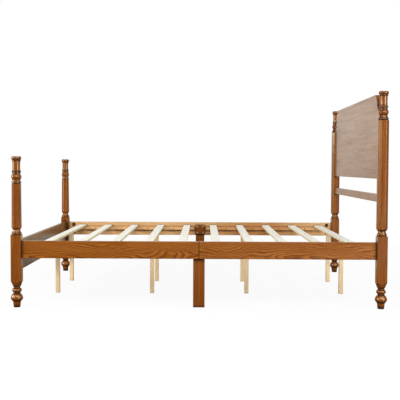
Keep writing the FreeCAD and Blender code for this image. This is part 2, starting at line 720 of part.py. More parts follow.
def make_side_rail(end, along, side, across):
    node = "side_rail_%s_%s" % (side, end)
    board = plank(node + "_board", "rail_len", "rail_t", "rail_h",
                  low_end(along, "seam_gap / 2", "inner_half_length"),
                  low_end(across, "rail_face", "rail_face + rail_t"), "z_rail")
    board = rounded(node + "_eased", board, "x", "rail_round")
    middle = signed(across, "half_width")
    holes = []
    for place in ("low", "high"):
        z_bolt = "z_rail_bolt_" + place
        holes.append(rod(node + "_pocket_" + place, "pocket_r", "rail_t - pocket_floor + flat_past", "y",
                         signed(along, "pocket_x"),
                         low_end(across, "rail_face - flat_past", "rail_face + rail_t - pocket_floor"),
                         z_bolt))
        holes.append(rod(node + "_bolt_hole_" + place, "bolt_r + fit_gap", "pocket_in + flat_past", "x",
                         low_end(along, "pocket_x", "pocket_x + pocket_in + flat_past"),
                         middle, z_bolt))
    holes.append(rod(node + "_dowel_hole", "dowel_r + fit_gap", "dowel_in + fit_end + flat_past", "x",
                     low_end(along, "inner_half_length - dowel_in - fit_end",
                             "inner_half_length + flat_past"), middle, "z_rail_mid"))
    for level, sign in (("low", "-"), ("high", "+")):
        holes.append(rod(node + "_splice_hole_" + level, "bolt_r + fit_gap",
                         "splice_bolt_in + fit_end + flat_past", "y",
                         signed(along, "splice_bolt_x"),
                         low_end(across, "rail_face - flat_past", "rail_face + splice_bolt_in + fit_end"),
                         "z_splice_mid %s splice_bolt_z" % sign))
    for number, x in enumerate(ledger_screw_places(along), start=1):
        holes.append(rod("%s_screw_hole_%d" % (node, number), "screw_r + fit_gap",
                         "ledger_screw_in + fit_end + flat_past", "y", x,
                         low_end(across, "rail_face - flat_past", "rail_face + ledger_screw_in + fit_end"),
                         "z_ledger_mid"))
    finish(cut(node, board, holes), node)


def make_ledger(end, along, side, across):
    node = "ledger_%s_%s" % (side, end)
    strip = plank(node + "_strip", "ledger_far - ledger_near", "ledger_t", "ledger_h",
                  low_end(along, "ledger_near", "ledger_far"),
                  low_end(across, "ledger_face", "rail_face"), "z_ledger")
    holes = []
    for number in ledger_slats(along):
        holes.append(rod("%s_slat_hole_%d" % (node, number), "screw_r + fit_gap",
                         "slat_screw_in + fit_end + flat_past", "z",
                         slat_x(number), signed(across, "ledger_mid_y"),
                         "z_slat - slat_screw_in - fit_end"))
    inward = "-y" if across > 0 else "y"
    for number, x in enumerate(ledger_screw_places(along), start=1):
        holes.append(rod("%s_screw_hole_%d" % (node, number), "screw_r + fit_gap", "ledger_t", "y", x,
                         low_end(across, "ledger_face", "rail_face"), "z_ledger_mid"))
        holes.append(taper("%s_screw_sink_%d" % (node, number), "screw_r + fit_gap",
                           "screw_head_r + fit_gap", "screw_head_h", inward, x,
                           signed(across, "ledger_face + screw_head_h"), "z_ledger_mid"))
    finish(cut(node, strip, holes), node)


def splice_bolt_places():
    return [(x, z) for x in ("-splice_bolt_x", "splice_bolt_x")
            for z in ("z_splice_mid - splice_bolt_z", "z_splice_mid + splice_bolt_z")]


def make_splice(side, across):
    """Block over the seam of a side rail and the leg behind it, bored for the same four bolts."""
    block = plank("splice_block_%s_blank" % side, "splice_w", "splice_t", "splice_h",
                  "-splice_w / 2", low_end(across, "splice_front", "splice_back"), "z_splice")
    block = rounded("splice_block_%s_eased" % side, block, "y", "splice_round")
    leg = plank("centre_leg_%s_blank" % side, "centre_leg_w", "centre_leg_t", "z_splice_top",
                "-centre_leg_w / 2", low_end(across, "splice_back", "rail_face"), "0")
    leg = rounded("centre_leg_%s_eased" % side, leg, "z", "splice_round")
    for name, solid, near, far in (("splice_block", block, "splice_front", "splice_back"),
                                   ("centre_leg", leg, "splice_back", "rail_face")):
        node = "%s_%s" % (name, side)
        holes = [rod("%s_hole_%d" % (node, number), "bolt_r + fit_gap", "%s - %s" % (far, near), "y",
                     x, low_end(across, near, far), z)
                 for number, (x, z) in enumerate(splice_bolt_places(), start=1)]
        finish(cut(node, solid, holes), node)


for side, across in SIDES:
    for end, along in ENDS:
        make_side_rail(end, along, side, across)
for side, across in SIDES:
    for end, along in ENDS:
        make_ledger(end, along, side, across)
for side, across in SIDES:
    make_splice(side, across)


# Slats and support legs

def make_slat(number):
    node = "slat_%02d" % (number + 1)
    board = plank(node + "_board", "slat_w", "2 * slat_half_len", "slat_t",
                  "%s - slat_w / 2" % slat_x(number), "-slat_half_len", "z_slat")
    board = rounded(node + "_eased", board, "y", "slat_round")
    rows = ["ledger_mid_y", "-ledger_mid_y"]
    if number in SUPPORTED_SLATS:
        rows += ["support_y", "-support_y"]
    holes = []
    for row, y in enumerate(rows, start=1):
        holes.append(rod("%s_hole_%d" % (node, row), "screw_r + fit_gap", "slat_t", "z",
                         slat_x(number), y, "z_slat"))
        holes.append(taper("%s_sink_%d" % (node, row), "screw_r + fit_gap", "screw_head_r + fit_gap",
                           "screw_head_h", "z", slat_x(number), y, "z_slat_top - screw_head_h"))
    finish(cut(node, board, holes), node)


def make_support_leg(slat, side, across):
    node = "support_leg_%02d_%s" % (slat + 1, side)
    post = plank(node + "_post", "support_sq", "support_sq", "z_slat",
                 "%s - support_sq / 2" % slat_x(slat),
                 signed(across, "support_y") + " - support_sq / 2", "0")
    post = rounded(node + "_eased", post, "z", "support_round")
    hole = rod(node + "_hole", "screw_r + fit_gap", "leg_screw_in + fit_end", "z", slat_x(slat),
               signed(across, "support_y"), "z_slat - leg_screw_in - fit_end")
    finish(cut(node, post, [hole]), node)


for number in range(SLAT_COUNT):
    make_slat(number)
for slat in SUPPORTED_SLATS:
    for side, across in SIDES:
        make_support_leg(slat, side, across)


# Fasteners, each kind in one group of separate solids

def make_group(node, members):
    group = doc.addObject("Part::Compound", node)
    group.Links = members
    finish(group, node)


def screw(name, length, axis, tip, head):
    """Countersunk wood screw along an axis, from its tip and with its head's cone from a second place."""
    shank = rod(name + "_shank", "screw_r", length, axis, *tip)
    cone = taper(name + "_head", "screw_r", "screw_head_r", "screw_head_h", axis, *head)
    return join(name, [shank, cone])


def deck_screw(name, x, y, depth):
    """Screw driven down through a slat into the wood under it."""
    return screw(name, "slat_t + " + depth, "z",
                 (x, y, "z_slat - " + depth), (x, y, "z_slat_top - screw_head_h"))


def ledger_screw(name, x, across):
    """Screw driven through a ledger into its rail."""
    return screw(name, "ledger_t + ledger_screw_in", "-y" if across > 0 else "y",
                 (x, signed(across, "rail_face + ledger_screw_in"), "z_ledger_mid"),
                 (x, signed(across, "ledger_face + screw_head_h"), "z_ledger_mid"))


def splice_bolt(name, x, z, across):
    """Button head bolt through the splice block and the centre leg into a rail half."""
    length = "splice_bolt_in + centre_leg_t + splice_t"
    shank = rod(name + "_shank", "bolt_r", length, "y",
                x, low_end(across, "splice_front", "rail_face + splice_bolt_in"), z)
    rim = rod(name + "_rim", "splice_head_r", "splice_head_rim", "y",
              x, low_end(across, "splice_front - splice_head_rim", "splice_front"), z)
    axis = "-y" if across > 0 else "y"
    crown = taper(name + "_crown", "splice_head_r", "splice_crown_r",
                  "splice_head_h - splice_head_rim", axis,
                  x, signed(across, "splice_front - splice_head_rim"), z)
    socket = rod(name + "_socket", "splice_drive_r", "splice_drive_h", "y",
                 x, low_end(across, "splice_front - splice_head_h",
                            "splice_front - splice_head_h + splice_drive_h"), z)
    return cut(name, join(name + "_solid", [shank, rim, crown]), [socket])


def rail_joint(along, across, place):
    """Hanger bolt, half-moon washer and nut of one rail bolt, in the order they go on."""
    name = "joint_%s_%s_%s" % ("head" if along > 0 else "foot", "left" if across > 0 else "right", place)
    y, z = signed(across, "half_width"), "z_rail_bolt_" + place
    bolt = rod(name + "_bolt", "bolt_r", "rail_bolt_post + pocket_in + bolt_past", "x",
               low_end(along, "pocket_x - bolt_past", "inner_half_length + rail_bolt_post"), y, z)
    moon = rod(name + "_moon", "pocket_r - fit_gap", "washer_t", "y",
               signed(along, "pocket_x"), y + " - washer_t / 2", z)
    waste = plank(name + "_waste", "washer_flat + pocket_r + flat_past", "washer_t + 2 * flat_past",
                  "2 * (pocket_r + flat_past)",
                  low_end(along, "pocket_x - pocket_r - flat_past", "pocket_x + washer_flat"),
                  y + " - washer_t / 2 - flat_past", z + " - pocket_r - flat_past")
    eye = rod(name + "_eye", "bolt_r + fit_gap", "pocket_r", "x",
              low_end(along, "pocket_x", "pocket_x + pocket_r"), y, z)
    washer = cut(name + "_washer", moon, [waste, eye])
    hexagon = doc.addObject("Part::Prism", name + "_hexagon")
    hexagon.Polygon = 6
    drive(hexagon, Circumradius="nut_corner_r", Height="nut_h")
    hexagon.Placement = FreeCAD.Placement(Vector(), LAID["x"])
    move_to(hexagon, low_end(along, "pocket_x + washer_flat - nut_h", "pocket_x + washer_flat"), y, z)
    thread = rod(name + "_thread", "bolt_r + fit_gap", "nut_h", "x",
                 low_end(along, "pocket_x + washer_flat - nut_h", "pocket_x + washer_flat"), y, z)
    nut = cut(name + "_nut", hexagon, [thread])
    return bolt, washer, nut


joints = [rail_joint(along, across, place)
          for end, along in ENDS for side, across in SIDES for place in ("low", "high")]
make_group("rail_bolts", [bolt for bolt, washer, nut in joints])
make_group("half_moon_washers", [washer for bolt, washer, nut in joints])
make_group("rail_nuts", [nut for bolt, washer, nut in joints])
make_group("rail_dowels", [
    rod("dowel_%s_%s" % (end, side), "dowel_r", "2 * dowel_in", "x",
        low_end(along, "inner_half_length - dowel_in", "inner_half_length + dowel_in"),
        signed(across, "half_width"), "z_rail_mid")
    for end, along in ENDS for side, across in SIDES])
make_group("foot_bolts", [
    rod("foot_bolt_%s_%s" % (end, side), "foot_bolt_r", "2 * foot_bolt_in", "z",
        signed(along, "half_length"), signed(across, "half_width"), "z_post - foot_bolt_in")
    for end, along in ENDS for side, across in SIDES])
make_group("splice_bolts", [
    splice_bolt("splice_bolt_%s_%d" % (side, number), x, z, across)
    for side, across in SIDES for number, (x, z) in enumerate(splice_bolt_places(), start=1)])
make_group("slat_screws", [
    deck_screw("slat_screw_%02d_%s" % (number + 1, side), slat_x(number),
               signed(across, "ledger_mid_y"), "slat_screw_in")
    for number in range(SLAT_COUNT) for side, across in SIDES])
make_group("leg_screws", [
    deck_screw("leg_screw_%02d_%s" % (number + 1, side), slat_x(number),
               signed(across, "support_y"), "leg_screw_in")
    for number in SUPPORTED_SLATS for side, across in SIDES])
make_group("ledger_screws", [
    ledger_screw("ledger_screw_%s_%s_%d" % (side, end, number), x, across)
    for end, along in ENDS for side, across in SIDES
    for number, x in enumerate(ledger_screw_places(along), start=1)])

# Check every feature and every sub-part, then write one file for each sub-part

doc.recompute()
for obj in doc.Objects:
    if "Invalid" in obj.State or "Error" in obj.State:
        raise RuntimeError("%s did not build: %s" % (obj.Name, obj.State))
os.makedirs("parts", exist_ok=True)
for node, obj in parts:
    shape = obj.Shape
    if shape.isNull() or not shape.isValid() or not shape.Solids:
        raise RuntimeError("%s has no valid shape" % node)
    shape.exportStep("parts/%s.step" % node)
    print(node, len(shape.Solids), "solids", round(shape.Volume / 1000), "cm3")
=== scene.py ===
import json
import math

import bpy
from mathutils import Matrix, Vector

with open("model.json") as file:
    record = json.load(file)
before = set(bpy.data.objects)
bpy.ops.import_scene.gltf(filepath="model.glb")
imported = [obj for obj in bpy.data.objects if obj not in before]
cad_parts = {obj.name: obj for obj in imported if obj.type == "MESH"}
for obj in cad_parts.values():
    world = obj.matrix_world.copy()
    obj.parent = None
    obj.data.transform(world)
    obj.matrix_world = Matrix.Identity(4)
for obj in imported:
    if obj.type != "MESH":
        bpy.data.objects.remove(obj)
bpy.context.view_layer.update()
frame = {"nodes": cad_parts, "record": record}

# A stained wooden post bed on a white studio floor, seen from its right side.
# Metres, +X towards the headboard, +Z up, the same frame as the solids.

nodes = frame["nodes"]
scene = bpy.context.scene


# Colours of wood, stain and metal are written as they look, 0 to 255, and turned into linear light here

def tint(red, green, blue):
    """Linear colour, with full alpha, of a colour as it looks on a screen."""
    def linear(level):
        level /= 255.0
        return level / 12.92 if level <= 0.04045 else ((level + 0.055) / 1.055) ** 2.4
    return (linear(red), linear(green), linear(blue), 1.0)


# Pale, middle and dark tone of each wood
CARAMEL = (tint(186, 112, 38), tint(150, 81, 16), tint(88, 36, 4))
CARAMEL_DEEP = (tint(160, 90, 26), tint(124, 61, 9), tint(64, 23, 2))
CARAMEL_GOLD = (tint(180, 116, 46), tint(142, 84, 26), tint(76, 36, 7))
# Stain of the footboard: greyer than the others, partly its own tone and partly a painted sheen of its
# lacquer
CARAMEL_WITH_PAINTED_SHEEN = (tint(154, 104, 46), tint(124, 79, 29), tint(68, 35, 9))
PALE_INSIDE = (tint(213, 178, 130), tint(198, 158, 109), tint(164, 118, 72))
PALE_LEDGER = (tint(246, 198, 138), tint(236, 182, 118), tint(200, 142, 82))
PALE_SLAT = (tint(248, 248, 241), tint(243, 242, 232), tint(219, 210, 188))
PALE_LEG = (tint(255, 233, 188), tint(251, 220, 170), tint(214, 171, 117))

# Stain, glaze and dust on the wood, also used as painted shade in corners, joints, grooves, the seam of the
# rails and on undersides
DARK_STAIN_AND_SHADE = tint(38, 15, 3)
RED_STAIN_AND_SHADE = tint(82, 24, 6)
BROWN_GLAZE_AND_SHADE = tint(58, 22, 4)
BROWN_DUST_AND_SHADE = tint(130, 74, 34)
DARK_DUST_AND_SHADE = tint(88, 48, 18)

# Tint of the reflection under the lacquer, and the cloth behind the bed, both as linear light
GOLDEN_SHEEN = (1.0, 0.76, 0.40, 1.0)
CREAM_CLOTH = (0.985, 0.98, 0.91, 1.0)

# Factors on the colour of a wood for a painted shadow, for painted light below the ledgers and for painted
# warm bounce light on the sides of the slats
PAINTED_SHADOW_TONE = (0.76, 0.60, 0.45, 1.0)
PAINTED_LIGHT_LIFT = (1.36, 1.25, 1.18, 1.0)
PAINTED_SIDE_BOUNCE = (1.0, 0.84, 0.60, 1.0)


# Places on the bed

# Grooves of the finials that are dark from glaze and painted shade under their rings: height, half a width
# and strength, at the head and at the foot
HEAD_GLAZE_AND_SHADE = ((1.0765, 0.005, 0.8), (1.0900, 0.013, 0.55), (1.1350, 0.014, 0.85), (1.1555, 0.005, 0.7),
              (1.2060, 0.006, 0.7))
FOOT_GLAZE_AND_SHADE = ((0.7600, 0.007, 0.6), (0.7715, 0.006, 0.85), (0.8340, 0.006, 0.8))

# Stretch of X, in the middle of the bed, that divides the head from the foot
MIDDLE = (-0.1, 0.1)

# Distances from the seam of the rail halves between which its dark line fades, and the line's strength. The
# line is stain in the seam and painted shade of the gap
SEAM_LINE = (0.0010, 0.0034)
SEAM_STRENGTH = 0.9

# Where the stain of a rail starts: across from its bare inner face and bare pockets, and up and down
STAINED_FROM_INSIDE = (0.7735, 0.7752)
STAINED_FROM_POCKET = (0.7925, 0.7940)
STAINED_ABOVE = (0.3745, 0.3765)
STAINED_BELOW = (0.2845, 0.2825)

# Stretch of the rails and ledgers with a painted shadow: where it starts and where it ends, along X
PAINTED_SHADOW_FROM = (-0.16, 0.36)
PAINTED_SHADOW_TO = (0.82, 0.56)

# Heights between which the painted light below a ledger starts on the inner face of a rail, which makes its
# shaded wood paler
PAINTED_LIGHT_BELOW = (0.321, 0.316)


# Grain, stain and lacquer

# Cells of noise to a metre in each part of the grain: along the grain and twice across it
WANDER_CELLS = (2.1, 6.0, 6.0)
CLOUD_CELLS = (3.2, 15.0, 15.0)
STREAK_CELLS = (2.4, 70.0, 70.0)
FIBRE_CELLS = (11.0, 420.0, 420.0)
PORE_CELLS = (38.0, 1100.0, 1100.0)

# Scale of the yearly rings, which are 314 mm wide divided by it
RING_SCALE = 58.0

# Ranges of the ring and of the noises that count as late wood, pore, fibre, cloud and streak
LATE_WOOD = (0.35, 1.0)
PORE = (0.58, 0.70)
FIBRE = (0.35, 0.7)
CLOUD = (0.30, 0.70)
STREAK = (0.32, 0.70)

# How strongly clouds and streaks make the wood paler, and fibres make it darker
CLOUD_STRENGTH = 0.55
STREAK_STRENGTH = 0.45
FIBRE_STRENGTH = 0.16

# How much rougher a pore is, and how much a cloud of this range changes the roughness both ways
PORE_ROUGHNESS = 0.18
ROUGH_CLOUD = (0.2, 0.8)
CLOUD_ROUGHNESS = 0.05

# Thickness of the lacquer over streaks of this range and over clouds, and the most of both together
SHEEN_STREAK = (0.32, 0.68)
STREAK_SHEEN = (0.10, 0.90)
CLOUD_SHEEN = (0.1, 0.7)
MOST_SHEEN = 1.6

# Height of the fibres and depth of the late wood in the relief, where a full pore is one deep
FIBRE_RELIEF = 0.25
LATE_RELIEF = 0.2

# How far along the trunk, one way or the other, the wood of each end and each side of the bed was cut
TRUNK_STEPS = (("X", 2.5), ("Y", 7.1))

# Order of the axes that puts the grain first
ALONG = {"X": ("X", "Y", "Z"), "Y": ("Y", "X", "Z"), "Z": ("Z", "X", "Y")}

# Rays that look for corners and edges, and how far those for edges go
CORNER_RAYS = 8
EDGE_REACH = 0.004

# Openness of a corner where no stain or painted shade gathers, and of an edge where the stain is full and
# where there is none
OPEN_CORNER = 0.96
OPEN_EDGE = (0.45, 0.95)

# How far a face turns along the grain, downwards or to an end of the bed where its effect starts and is full
END_FACING = (0.35, 0.85)
UNDER_FACING = (-0.20, -0.70)
SIDE_FACING = (0.5, 0.9)

# Painted shade on undersides, the share of stain and painted shade that dulls lacquer most, what it leaves of
# it, and how much it roughens
UNDER_SHADE_STRENGTH = 0.65
FULL_STAIN_AND_SHADE = 0.8
COAT_UNDER_STAIN_AND_SHADE = 0.1
ROUGHNESS_UNDER_STAIN_AND_SHADE = 0.12

# Roughness of the lacquer, and how much thicker it is in a full patch
COAT_ROUGHNESS = 0.12
PATCH_GAIN = 0.6

# Depth of the relief of the grain, and its strength under lacquer and on bare wood
RELIEF_DEPTH = 0.0006
LACQUERED_RELIEF = 0.02
BARE_RELIEF = 0.25

# Spangle of plated steel: cells of noise to a metre, their range, the darkest shade and the uneven roughness
SPANGLE_CELLS = 420.0
SPANGLE_RANGE = (0.3, 0.7)
SPANGLE_SHADE = 0.72
SPANGLE_SMOOTHER = 0.06
SPANGLE_ROUGHER = 0.08


# Small helpers for node trees

class Tree:
    """Adds nodes to a node tree and joins them with short calls."""

    def __init__(self, tree):
        self.tree = tree

    def add(self, kind, **settings):
        node = self.tree.nodes.new(kind)
        for name, value in settings.items():
            setattr(node, name, value)
        return node

    def join(self, source, target):
        self.tree.links.new(source, target)

    def feed(self, socket, value):
        """Give an input a number or colour, or join it to another node's output."""
        if isinstance(value, bpy.types.NodeSocket):
            self.join(value, socket)
        else:
            socket.default_value = value

    def fill(self, node, values):
        """Feed the inputs of a node by their names."""
        for name, value in values.items():
            self.feed(node.inputs[name], value)

    def math(self, operation, first, second=None):
        node = self.add("ShaderNodeMath", operation=operation)
        self.feed(node.inputs[0], first)
        if second is not None:
            self.feed(node.inputs[1], second)
        return node.outputs[0]

    def stretch(self, vector, factors):
        node = self.add("ShaderNodeVectorMath", operation="MULTIPLY")
        self.join(vector, node.inputs[0])
        node.inputs[1].default_value = factors
        return node.outputs[0]

    def shift(self, vector, other):
        node = self.add("ShaderNodeVectorMath", operation="ADD")
        self.join(vector, node.inputs[0])
        self.feed(node.inputs[1], other)
        return node.outputs[0]

    def scaled(self, vector, factor):
        node = self.add("ShaderNodeVectorMath", operation="SCALE")
        self.feed(node.inputs[0], vector)
        self.feed(node.inputs["Scale"], factor)
        return node.outputs["Vector"]

    def split(self, vector):
        """The X, Y and Z of a vector, by name."""
        node = self.add("ShaderNodeSeparateXYZ")
        self.join(vector, node.inputs[0])
        return node.outputs

    def noise(self, vector, scale=1.0, detail=2.0, roughness=0.5, colour=False):
        node = self.add("ShaderNodeTexNoise")
        self.fill(node, {"Vector": vector, "Scale": scale, "Detail": detail, "Roughness": roughness})
        return node.outputs["Color" if colour else "Fac"]

    def span(self, value, low, high, to_low=0.0, to_high=1.0):
        """Carry a value from one range to another, held at both ends."""
        node = self.add("ShaderNodeMapRange", clamp=True)
        self.fill(node, {"Value": value, "From Min": low, "From Max": high,
                         "To Min": to_low, "To Max": to_high})
        return node.outputs["Result"]

    def blend(self, factor, first, second, mode="MIX"):
        node = self.add("ShaderNodeMix", data_type="RGBA", blend_type=mode)
        self.feed(node.inputs[0], factor)
        self.feed(node.inputs[6], first)
        self.feed(node.inputs[7], second)
        return node.outputs[2]


def new_group(name, inputs, outputs):
    """Empty shader node group with named sockets. Returns its tree, its inputs and its outputs."""
    tree = bpy.data.node_groups.new(name, "ShaderNodeTree")
    for label, kind in inputs.items():
        tree.interface.new_socket(label, in_out="INPUT", socket_type="NodeSocket" + kind)
    for label, kind in outputs.items():
        tree.interface.new_socket(label, in_out="OUTPUT", socket_type="NodeSocket" + kind)
    build = Tree(tree)
    return build, build.add("NodeGroupInput").outputs, build.add("NodeGroupOutput").inputs


def make_grain_group():
    """Grain of wood as it is cut from a trunk. The first axis of its vector is the pith, and the grain runs
    along it.
    """
    build, given, result = new_group(
        "sawn_wood_grain",
        {"Vector": "Vector", "Pale": "Color", "Middle": "Color", "Dark": "Color", "Wander": "Float",
         "Ring Scale": "Float", "Ring Strength": "Float", "Streak Strength": "Float",
         "Pore Strength": "Float", "Roughness": "Float"},
        {"Color": "Color", "Roughness": "Float", "Height": "Float", "Sheen": "Float"})
    vector = given["Vector"]
    # The trunk wanders as it grows, which draws long flames on a flat sawn face
    wander = build.noise(build.stretch(vector, WANDER_CELLS), detail=2.5, colour=True)
    wander = build.stretch(build.shift(wander, (-0.5, -0.5, -0.5)), (0.0, 1.0, 1.0))
    wander = build.scaled(wander, given["Wander"])
    wave = build.add("ShaderNodeTexWave", wave_type="RINGS", rings_direction="X", wave_profile="SAW")
    build.fill(wave, {"Vector": build.shift(vector, wander), "Scale": given["Ring Scale"], "Distortion": 0.9,
                      "Detail": 2.0, "Detail Scale": 1.6})
    late = build.span(wave.outputs["Fac"], *LATE_WOOD)
    # Clouds and streaks of stain, fine fibres and short dark pores all run with the grain
    cloud = build.noise(build.stretch(vector, CLOUD_CELLS), detail=3.0, roughness=0.6)
    streak = build.noise(build.stretch(vector, STREAK_CELLS), detail=3.0, roughness=0.6)
    fibre = build.noise(build.stretch(vector, FIBRE_CELLS), detail=2.0)
    pore = build.noise(build.stretch(vector, PORE_CELLS), detail=1.0)
    pore = build.math("MULTIPLY", build.span(pore, *PORE), given["Pore Strength"])
    cloudy = build.span(cloud, *CLOUD, 0.0, CLOUD_STRENGTH)
    streaky = build.span(streak, *STREAK, 0.0, STREAK_STRENGTH)
    tone = build.math("MULTIPLY", build.math("ADD", cloudy, streaky), given["Streak Strength"])
    base = build.blend(tone, given["Middle"], given["Pale"])
    base = build.blend(build.math("MULTIPLY", late, given["Ring Strength"]), base, given["Dark"])
    fibrous = build.math("MULTIPLY", build.span(fibre, *FIBRE), FIBRE_STRENGTH)
    base = build.blend(fibrous, base, given["Dark"])
    build.join(build.blend(pore, base, given["Dark"]), result["Color"])
    rough = build.math("ADD", given["Roughness"], build.math("MULTIPLY", pore, PORE_ROUGHNESS))
    uneven = build.span(cloud, *ROUGH_CLOUD, -CLOUD_ROUGHNESS, CLOUD_ROUGHNESS)
    build.join(build.math("ADD", rough, uneven), result["Roughness"])
    # The lacquer lies thicker on some streaks and clouds than on others
    thick_streak = build.span(streak, *SHEEN_STREAK, *STREAK_SHEEN)
    thick_cloud = build.span(cloud, *CLOUD, *CLOUD_SHEEN)
    build.join(build.math("ADD", thick_streak, thick_cloud), result["Sheen"])
    relief = build.math("SUBTRACT", build.math("MULTIPLY", fibre, FIBRE_RELIEF), pore)
    build.join(build.math("SUBTRACT", relief, build.math("MULTIPLY", late, LATE_RELIEF)), result["Height"])
    return build.tree


def make_stain_and_shade_group():
    """Darkening in corners and joints, along sharp edges, in end grain and on undersides. Along edges and in
    end grain it is stains and dust, in corners and joints partly stains and dust and partly painted shade,
    and on undersides painted shade.
    """
    build, given, result = new_group(
        "stain_and_painted_shade",
        {"Color": "Color", "Stain And Shade": "Color", "Corner Strength": "Float", "Corner Reach": "Float",
         "Corner Depth": "Float", "Edge Strength": "Float", "Along": "Vector", "End Strength": "Float",
         "Under Shade Strength": "Float"},
        {"Color": "Color", "Share": "Float"})
    # Corners and joints: partly stain that gathers there, partly painted shade
    corner = build.add("ShaderNodeAmbientOcclusion", samples=CORNER_RAYS)
    build.join(given["Corner Reach"], corner.inputs["Distance"])
    in_corner = build.span(corner.outputs["AO"], given["Corner Depth"], OPEN_CORNER, 1.0, 0.0)
    in_corner = build.math("MULTIPLY", in_corner, given["Corner Strength"])
    edge = build.add("ShaderNodeAmbientOcclusion", samples=CORNER_RAYS, inside=True, only_local=True)
    edge.inputs["Distance"].default_value = EDGE_REACH
    on_edge = build.span(edge.outputs["AO"], *OPEN_EDGE, 1.0, 0.0)
    on_edge = build.math("MULTIPLY", on_edge, given["Edge Strength"])
    normal = build.add("ShaderNodeNewGeometry").outputs["Normal"]
    facing = build.add("ShaderNodeVectorMath", operation="DOT_PRODUCT")
    build.join(normal, facing.inputs[0])
    build.join(given["Along"], facing.inputs[1])
    end_grain = build.span(build.math("ABSOLUTE", facing.outputs["Value"]), *END_FACING)
    end_grain = build.math("MULTIPLY", end_grain, given["End Strength"])
    # Painted shade on faces that turn downwards
    under = build.span(build.split(normal)["Z"], *UNDER_FACING)
    under = build.math("MULTIPLY", under, given["Under Shade Strength"])
    share = build.math("MAXIMUM", in_corner, on_edge)
    share = build.math("MAXIMUM", share, build.math("MAXIMUM", end_grain, under))
    build.join(build.blend(share, given["Color"], given["Stain And Shade"]), result["Color"])
    build.join(share, result["Share"])
    return build.tree


GRAIN = make_grain_group()
STAIN_AND_SHADE_GROUP = make_stain_and_shade_group()


# Materials of the pieces

def principled(name):
    """New material with a plain Principled shader. Returns the material, its tree and the shader."""
    material = bpy.data.materials.new(name)
    material.use_nodes = True
    build = Tree(material.node_tree)
    return material, build, material.node_tree.nodes["Principled BSDF"]


def object_place(build):
    """The three coordinates of a point on the object."""
    return build.split(build.add("ShaderNodeTexCoord").outputs["Object"])


def grain_vector(build, axis, pith):
    """Place in the trunk. The four corners of the bed share one pith, mirrored, but each has its own
    stretch of the trunk, and the first axis runs along the grain."""
    place = object_place(build)
    folded = {"Z": place["Z"]}
    stretch_of_trunk = 0.0
    for letter, step in TRUNK_STEPS:
        folded[letter] = build.math("ABSOLUTE", place[letter])
        side = build.math("MULTIPLY", build.math("SIGN", place[letter]), step)
        stretch_of_trunk = build.math("ADD", side, stretch_of_trunk)
    turned = build.add("ShaderNodeCombineXYZ")
    for slot, letter in enumerate(ALONG[axis]):
        value = build.math("SUBTRACT", folded[letter], pith["XYZ".index(letter)])
        if slot == 0:
            value = build.math("ADD", value, stretch_of_trunk)
        build.join(value, turned.inputs[slot])
    return turned.outputs[0]


def add_grain(build, axis, pith, colours, wander, rings, streaks, pores, rough, ring_scale=RING_SCALE):
    """Grain group placed in a material with that material's own values."""
    group = build.add("ShaderNodeGroup", node_tree=GRAIN)
    pale, middle, dark = colours
    build.fill(group, {"Vector": grain_vector(build, axis, pith), "Pale": pale, "Middle": middle,
                       "Dark": dark, "Wander": wander, "Ring Scale": ring_scale, "Ring Strength": rings,
                       "Streak Strength": streaks, "Pore Strength": pores, "Roughness": rough})
    return group.outputs


def add_stain_and_shade(build, axis, colour, stain_and_shade, corners, edges, ends, reach=0.014, depth=0.42, under=0.0):
    """Colour darkened in the corners, along the edges, in end grain and on undersides, by stains, dust and
    painted shade.
    """
    group = build.add("ShaderNodeGroup", node_tree=STAIN_AND_SHADE_GROUP)
    along = [float(letter == axis) for letter in "XYZ"]
    build.fill(group, {"Color": colour, "Stain And Shade": stain_and_shade, "Corner Strength": corners, "Corner Reach": reach,
                       "Corner Depth": depth, "Edge Strength": edges, "Along": along, "End Strength": ends,
                       "Under Shade Strength": under})
    return group.outputs


def finish_wood(build, shader, colour, rough, height, relief):
    """Colour, roughness and a fine relief of the grain."""
    bump = build.add("ShaderNodeBump")
    build.fill(bump, {"Strength": relief, "Distance": RELIEF_DEPTH, "Height": height})
    build.fill(shader, {"Base Color": colour, "Roughness": rough, "Normal": bump.outputs["Normal"]})


def glaze_and_shade_share(build):
    """How dark a point of a post is in its grooves, from glazing and from painted shade under the rings. It
    is darkest in the inner half of each groove.
    """
    place = object_place(build)
    share = 0.0
    for at_head, grooves in ((True, HEAD_GLAZE_AND_SHADE), (False, FOOT_GLAZE_AND_SHADE)):
        here = build.span(place["X"], *MIDDLE, float(not at_head), float(at_head))
        for height, half, strength in grooves:
            away = build.math("ABSOLUTE", build.math("SUBTRACT", place["Z"], height))
            kept = build.math("MULTIPLY", build.span(away, 0.5 * half, half, strength, 0.0), here)
            share = build.math("MAXIMUM", kept, share)
    return share


def with_painted_shadow(build, colour):
    """The colour of bare wood with a painted shadow, browner along a stretch of the head half."""
    along = object_place(build)["X"]
    share = build.math("MULTIPLY", build.span(along, *PAINTED_SHADOW_FROM), build.span(along, *PAINTED_SHADOW_TO))
    return build.blend(share, colour, PAINTED_SHADOW_TONE, mode="MULTIPLY")


